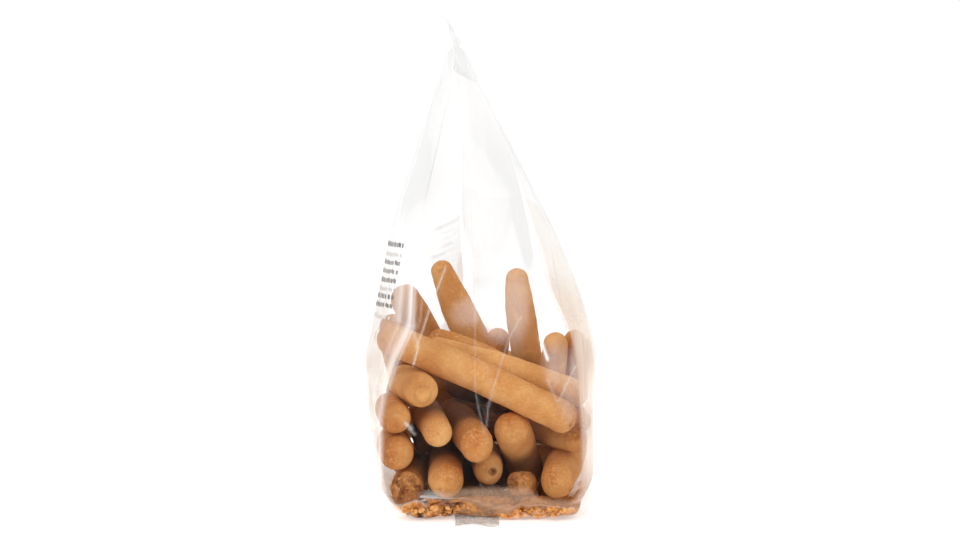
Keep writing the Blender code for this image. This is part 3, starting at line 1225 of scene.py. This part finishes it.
def slab(name, middle, normals, thickness):
    """A thin closed piece on both sides of a grid of points."""
    rows, columns = middle.shape[:2]
    outer = middle + 0.5 * thickness * normals
    inner = middle - 0.5 * thickness * normals
    flat = np.concatenate([outer.reshape(-1, 3), inner.reshape(-1, 3)])
    back = rows * columns
    faces = []
    for row in range(rows - 1):
        for column in range(columns - 1):
            a = row * columns + column
            faces.append((a, a + 1, a + columns + 1, a + columns))
            faces.append((back + a, back + a + columns, back + a + columns + 1, back + a + 1))
    rim = [column for column in range(columns)]
    rim += [row * columns + columns - 1 for row in range(1, rows)]
    rim += [(rows - 1) * columns + column for column in range(columns - 2, -1, -1)]
    rim += [row * columns for row in range(rows - 2, 0, -1)]
    for here, after in zip(rim, rim[1:] + rim[:1]):
        faces.append((after, here, back + here, back + after))
    mesh = bpy.data.meshes.new(name)
    mesh.from_pydata(flat.tolist(), [], faces)
    mesh.validate()
    piece = bpy.data.objects.new(name, mesh)
    bpy.context.collection.objects.link(piece)
    make_active(piece)
    bpy.ops.object.mode_set(mode="EDIT")
    bpy.ops.mesh.select_all(action="SELECT")
    bpy.ops.mesh.normals_make_consistent(inside=False)
    bpy.ops.object.mode_set(mode="OBJECT")
    piece.data.shade_smooth()
    piece.data.set_sharp_from_angle(angle=math.radians(50.0))
    return piece


def open_normals(grid):
    """Normals of an open grid of points."""
    across = np.gradient(grid, axis=1)
    up = np.gradient(grid, axis=0)
    normal = np.cross(across, up)
    return normal / (np.linalg.norm(normal, axis=2, keepdims=True) + 1e-12)


def top_seal_grid():
    """The upright seal: it leans and curls towards -X at its back end, with fine ribs along it."""
    rows, columns = 60, 110
    rise = np.linspace(-0.06, 1.0, rows)[:, None]
    back = np.linspace(0.0, 1.0, columns)[None, :]
    reach = 0.5 * bpy.context.scene.grissini_film.panel_width
    lean = 0.0025 + (-0.0065 - 0.0025) * back
    curl = -0.0022 * ease((back - 0.86) / 0.14) * np.maximum(0.0, rise - 0.45) ** 2
    wave = 0.0007 * np.sin(9.0 * back + 0.6) * np.maximum(0.0, rise) ** 1.5
    x = APEX_SHIFT + lean * np.maximum(0.0, rise) ** 2 + curl + wave
    y = (2.0 * back - 1.0) * reach * np.ones_like(rise)
    z = SEAL_START + 0.0113 * rise - 0.0012 * ease((back - 0.9) / 0.1) * np.maximum(0.0, rise)
    grid = np.stack([x + 0.0 * z, y, z + 0.0 * y], axis=2)
    normals = open_normals(grid)
    ribs = np.sin(2.0 * math.pi * rise * 11.0) * ease((rise - 0.12) / 0.06) * ease((0.94 - rise) / 0.05)
    return grid + normals * (0.00011 * ribs)[..., None], normals


def bottom_seal_grid():
    """The bottom seal, folded flat under the base: both its ends stand out from under the bag."""
    rows, columns = 60, 90
    place = np.linspace(0.0, 1.0, columns)[None, :]
    length = np.linspace(-1.0, 1.0, rows)[:, None]
    x = -0.0110 + 0.0195 * place + 0.0003 * np.sin(5.0 * length)
    y = length * 0.0576 + 0.0004 * np.sin(14.0 * place)
    out = np.maximum(0.0, np.abs(length) - 0.86) / 0.14
    z = 0.00062 + 0.0012 * out**2 * np.sin(7.0 * place + 0.4 + 1.5 * length) * 0.5
    z = z + 0.0006 * out + 0.00010 * np.sin(2.0 * math.pi * place * 17.0)
    grid = np.stack([x, y, np.maximum(z, 0.0004)], axis=2)
    return grid, open_normals(grid)


# Plain printed rows on the -X panel: height and bar height in millimetres, and how pale each is
PRINT_ROWS = (
    (121.2, 1.9, 0.0), (116.7, 1.5, 1.0), (113.1, 1.7, 0.15), (109.1, 1.7, 0.2), (105.1, 1.9, 0.1),
    (101.1, 1.5, 0.9), (97.9, 1.9, 0.0), (93.9, 1.7, 0.05), (88.7, 1.4, 1.0),
)
ROW_SLOPE = 0.15


def print_bars(grid):
    """Rows of plain bars of uneven length, laid on the film."""
    rng = np.random.default_rng(11)
    normals = grid_normals(grid)
    first = grid.shape[1] - PANEL_STEPS
    bars = []
    for level, tall, faint in PRINT_ROWS:
        place = -0.030
        while place < 0.034:
            long = rng.uniform(0.0016, 0.0052)
            steps = max(3, int(long / 0.0010))
            ys = np.linspace(place, place + long, steps)
            zs = np.linspace(level - 0.5 * tall, level + 0.5 * tall, 4) * MM
            patch = np.empty((4, steps, 3))
            patch_normals = np.empty((4, steps, 3))
            for i, z in enumerate(zs):
                z = z - ROW_SLOPE * (place + 0.030)
                row = np.interp(z, grid[:, -1, 2], np.arange(len(grid)))
                low = int(row)
                mix = row - low
                line = grid[low, first:] * (1.0 - mix) + grid[low + 1, first:] * mix
                out = normals[low, first:] * (1.0 - mix) + normals[low + 1, first:] * mix
                order = np.argsort(line[:, 1])
                for axis in range(3):
                    patch[i, :, axis] = np.interp(ys, line[order, 1], line[order, axis])
                    patch_normals[i, :, axis] = np.interp(ys, line[order, 1], out[order, axis])
            bar = slab("bar", patch + patch_normals * 0.00012, patch_normals, 0.00006)
            set_mask(bar.data, "faint", np.full(len(bar.data.vertices), faint))
            bars.append(bar)
            place += long + rng.uniform(0.0008, 0.0030)
    return bars


def crumb_pieces(material):
    """Loose crumbs in the bottom of the bag, most of them heaped along the front, as one piece."""
    bread = bpy.context.scene.grissini_bread
    clear_selection()
    bpy.ops.mesh.primitive_ico_sphere_add(subdivisions=2, radius=1.0, location=(0.0, 0.0, 0.0))
    seed = bpy.context.object
    rough = seed.modifiers.new("rough", "DISPLACE")
    rough.texture = noise_texture("crumb_rough", "CLOUDS", 0.7)
    rough.texture_coords = "LOCAL"
    rough.strength = 1.0
    apply_all(seed)
    shape = points_of(seed.data)
    triangles = np.array([face.vertices[:] for face in seed.data.polygons])
    bpy.data.objects.remove(seed)
    rng = np.random.default_rng(5)
    grid = bag_grid()
    ring = grid[np.argmax(grid[:, 0, 2] > BASE_RADIUS)]
    front = ring[:FRONT_STEPS]
    lines = np.concatenate([stick_axis(stick) for stick in STICKS])
    radii = np.repeat([stick["radius"] for stick in STICKS], AXIS_SAMPLES)
    points = []
    faces = []
    made = 0
    tries = 0
    while made < bread.crumb_count and tries < 60 * bread.crumb_count:
        tries += 1
        size = 0.00030 + 0.0012 * rng.random() ** 4.0
        if rng.random() < 0.80:
            x = rng.uniform(-0.036, 0.041)
            wall = np.interp(x, front[:, 0], front[:, 1])
            back = rng.random() ** 1.6 * 0.014
            clump = 0.5 + 0.5 * noise.noise(Vector((x * 130.0, back * 130.0, 3.7)))
            if rng.random() > 1.6 * clump - 0.35:
                continue
            heap = 0.0016 + 0.0070 * clump * max(0.0, 1.0 - back / 0.014)
        else:
            x, back = rng.uniform(-0.036, 0.036), None
            heap = 0.0012
        z = 0.0015 + 0.7 * size + rng.random() * heap
        inset = BASE_RADIUS - math.sqrt(max(0.0, BASE_RADIUS**2 - max(0.0, BASE_RADIUS - z) ** 2))
        if back is None:
            y = rng.uniform(-0.040, 0.040)
        else:
            y = wall + size + 0.0006 + inset + back
        if min(x - front[:, 0].min(), front[:, 0].max() - x) < inset + size + 0.001:
            continue
        centre = np.array([x, y, z])
        if (np.linalg.norm(lines - centre, axis=1) - radii).min() < 0.6 * size:
            continue
        turn = np.linalg.qr(rng.normal(size=(3, 3)))[0]
        if np.linalg.det(turn) < 0.0:
            turn[:, 0] = -turn[:, 0]
        stretch = size * rng.uniform(0.6, 1.25, 3)
        points.append((shape * stretch) @ turn.T + centre)
        faces.append(triangles + made * len(shape))
        made += 1
    mesh = bpy.data.meshes.new("crumbs")
    mesh.from_pydata(np.concatenate(points).tolist(), [], np.concatenate(faces).tolist())
    mesh.validate()
    piece = bpy.data.objects.new("crumbs", mesh)
    bpy.context.collection.objects.link(piece)
    piece.data.materials.append(material)
    piece.data.shade_smooth()
    finish_piece(piece)
    return piece


# ---------------------------------------------------------------- operators


class GRISSINI_OT_breadsticks(bpy.types.Operator):
    """Model the breadsticks: shown ones in their places, the rest of the heap behind them"""

    bl_idname = "grissini.breadsticks"
    bl_label = "Breadsticks"

    def execute(self, context):
        STICKS[:] = settle(stick_places())
        group = bpy.data.node_groups.get("baked_crust") or crust_group()
        material = bread_material(group)
        for stick in STICKS:
            build_stick(stick, material)
        return {"FINISHED"}


class GRISSINI_OT_crumbs(bpy.types.Operator):
    """Scatter the loose crumbs in the bottom of the bag"""

    bl_idname = "grissini.crumbs"
    bl_label = "Crumbs"

    def execute(self, context):
        if not STICKS:
            raise RuntimeError("the breadsticks come first: the crumbs lie between them")
        group = bpy.data.node_groups.get("baked_crust") or crust_group()
        crumb_pieces(crumb_material(group))
        return {"FINISHED"}


class GRISSINI_OT_film_bag(bpy.types.Operator):
    """Model the clear film with its gussets, folds and wrinkles, drawn over the bread"""

    bl_idname = "grissini.film_bag"
    bl_label = "Film bag"

    def execute(self, context):
        if not STICKS:
            raise RuntimeError("the breadsticks come first: the film is drawn over them")
        points, masks = film_grid()
        bag = bpy.data.objects.new("film_bag", film_mesh(points, masks))
        context.collection.objects.link(bag)
        bag.data.materials.append(film_veil("clear_film", 0.012, 1.0))
        bag.data.shade_smooth()
        finish_piece(bag)
        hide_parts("bag")
        bars = print_bars(points)
        clear_selection()
        for bar in bars:
            bar.select_set(True)
        context.view_layer.objects.active = bars[0]
        bpy.ops.object.join()
        print_piece = context.object
        print_piece.name = "print_bars"
        print_piece.data.materials.append(bar_material())
        finish_piece(print_piece)
        return {"FINISHED"}


class GRISSINI_OT_seals(bpy.types.Operator):
    """Model the ribbed top seal and the bottom seal folded under the base"""

    bl_idname = "grissini.seals"
    bl_label = "Seals"

    def execute(self, context):
        material = film_veil("sealed_film", 1.10, 1.0)
        for name, (middle, normals) in (
            ("top_seal", top_seal_grid()),
            ("bottom_seal", bottom_seal_grid()),
        ):
            piece = slab(name, middle, normals, 0.00032)
            piece.data.materials.append(material)
            finish_piece(piece)
        return {"FINISHED"}


class GRISSINI_OT_stage(bpy.types.Operator):
    """Set up the pale floor, the soft lights and the camera"""

    bl_idname = "grissini.stage"
    bl_label = "Stage"

    def execute(self, context):
        stage = context.scene.grissini_stage
        clear_selection()
        bpy.ops.mesh.primitive_plane_add(size=12.0, location=(0.0, 0.0, -0.0002))
        floor = context.object
        floor.name = "floor"
        material, tree, shader = new_material("pale_floor")
        shader.inputs["Base Color"].default_value = stage.floor_colour
        shader.inputs["Roughness"].default_value = 0.9
        shader.inputs["Specular IOR Level"].default_value = 0.1
        shader.inputs["Emission Color"].default_value = (1.0, 1.0, 1.0, 1.0)
        place = tree.nodes.new("ShaderNodeTexCoord").outputs["Object"]
        away = tree.nodes.new("ShaderNodeVectorMath")
        away.operation = "LENGTH"
        tree.links.new(place, away.inputs[0])
        glow = remap(tree, away.outputs["Value"], 0.10, 0.34, stage.floor_glow, 0.0)
        tree.links.new(glow, shader.inputs["Emission Strength"])
        floor.data.materials.append(material)
        world = bpy.data.worlds.new("studio")
        world.use_nodes = True
        tree = world.node_tree
        sky = tree.nodes["Background"]
        way = tree.nodes.new("ShaderNodeTexCoord").outputs["Generated"]
        parts = tree.nodes.new("ShaderNodeSeparateXYZ")
        tree.links.new(way, parts.inputs["Vector"])
        rise = remap(tree, parts.outputs["Z"], 0.0, 1.0, 0.55, 1.0)
        front = remap(tree, parts.outputs["Y"], -1.0, 0.2, 0.62, 1.0)
        sky.inputs["Color"].default_value = (1.0, 1.0, 1.0, 1.0)
        strength = maths(tree, "MULTIPLY", maths(tree, "MULTIPLY", rise, front), stage.sky_strength)
        tree.links.new(strength, sky.inputs["Strength"])
        context.scene.world = world
        for name, place, size, power in (
            ("key", (-0.7, -1.1, 1.3), 0.8, stage.key_power),
            ("fill", (0.9, -1.0, 0.8), 1.0, 0.35 * stage.key_power),
        ):
            bpy.ops.object.light_add(type="AREA", location=place)
            light = context.object
            light.name = name
            light.data.shape = "DISK"
            light.data.size = size
            light.data.energy = power
            aim = Vector((0.0, 0.0, 0.05)) - Vector(place)
            light.rotation_euler = aim.to_track_quat("-Z", "Y").to_euler()
        target = Vector((0.00025, 0.0, 0.1051))
        back = Vector((0.0, -math.cos(stage.elevation), math.sin(stage.elevation)))
        bpy.ops.object.camera_add(location=target + back * stage.distance)
        camera = context.object
        camera.name = "camera"
        camera.rotation_euler = (-back).to_track_quat("-Z", "Y").to_euler()
        camera.data.lens = stage.lens
        camera.data.sensor_width = 36.0
        camera.data.clip_start = 0.01
        context.scene.camera = camera
        context.scene.view_settings.view_transform = "Standard"
        context.scene.cycles.transparent_max_bounces = 24
        return {"FINISHED"}


OPERATORS = (
    GRISSINI_OT_breadsticks,
    GRISSINI_OT_crumbs,
    GRISSINI_OT_film_bag,
    GRISSINI_OT_seals,
    GRISSINI_OT_stage,
)


class GRISSINI_PT_panel(bpy.types.Panel):
    """Lists the steps in the 3D view's sidebar"""

    bl_idname = "GRISSINI_PT_panel"
    bl_label = "Bag of breadsticks"
    bl_space_type = "VIEW_3D"
    bl_region_type = "UI"
    bl_category = "Breadsticks"

    def draw(self, context):
        for operator in OPERATORS:
            self.layout.operator(operator.bl_idname)
        for settings in ("grissini_bread", "grissini_film", "grissini_stage"):
            group = getattr(context.scene, settings)
            box = self.layout.box()
            for name in group.bl_rna.properties.keys():
                if name not in ("rna_type", "name"):
                    box.prop(group, name)


CLASSES = (BreadSettings, FilmSettings, StageSettings) + OPERATORS + (GRISSINI_PT_panel,)


def register():
    for item in CLASSES:
        bpy.utils.register_class(item)
    bpy.types.Scene.grissini_bread = bpy.props.PointerProperty(type=BreadSettings)
    bpy.types.Scene.grissini_film = bpy.props.PointerProperty(type=FilmSettings)
    bpy.types.Scene.grissini_stage = bpy.props.PointerProperty(type=StageSettings)


def unregister():
    del bpy.types.Scene.grissini_stage
    del bpy.types.Scene.grissini_film
    del bpy.types.Scene.grissini_bread
    for item in reversed(CLASSES):
        bpy.utils.unregister_class(item)


def main():
    register()
    for operator in OPERATORS:
        category, name = operator.bl_idname.split(".")
        getattr(getattr(bpy.ops, category), name)()


if __name__ == "__main__":
    main()
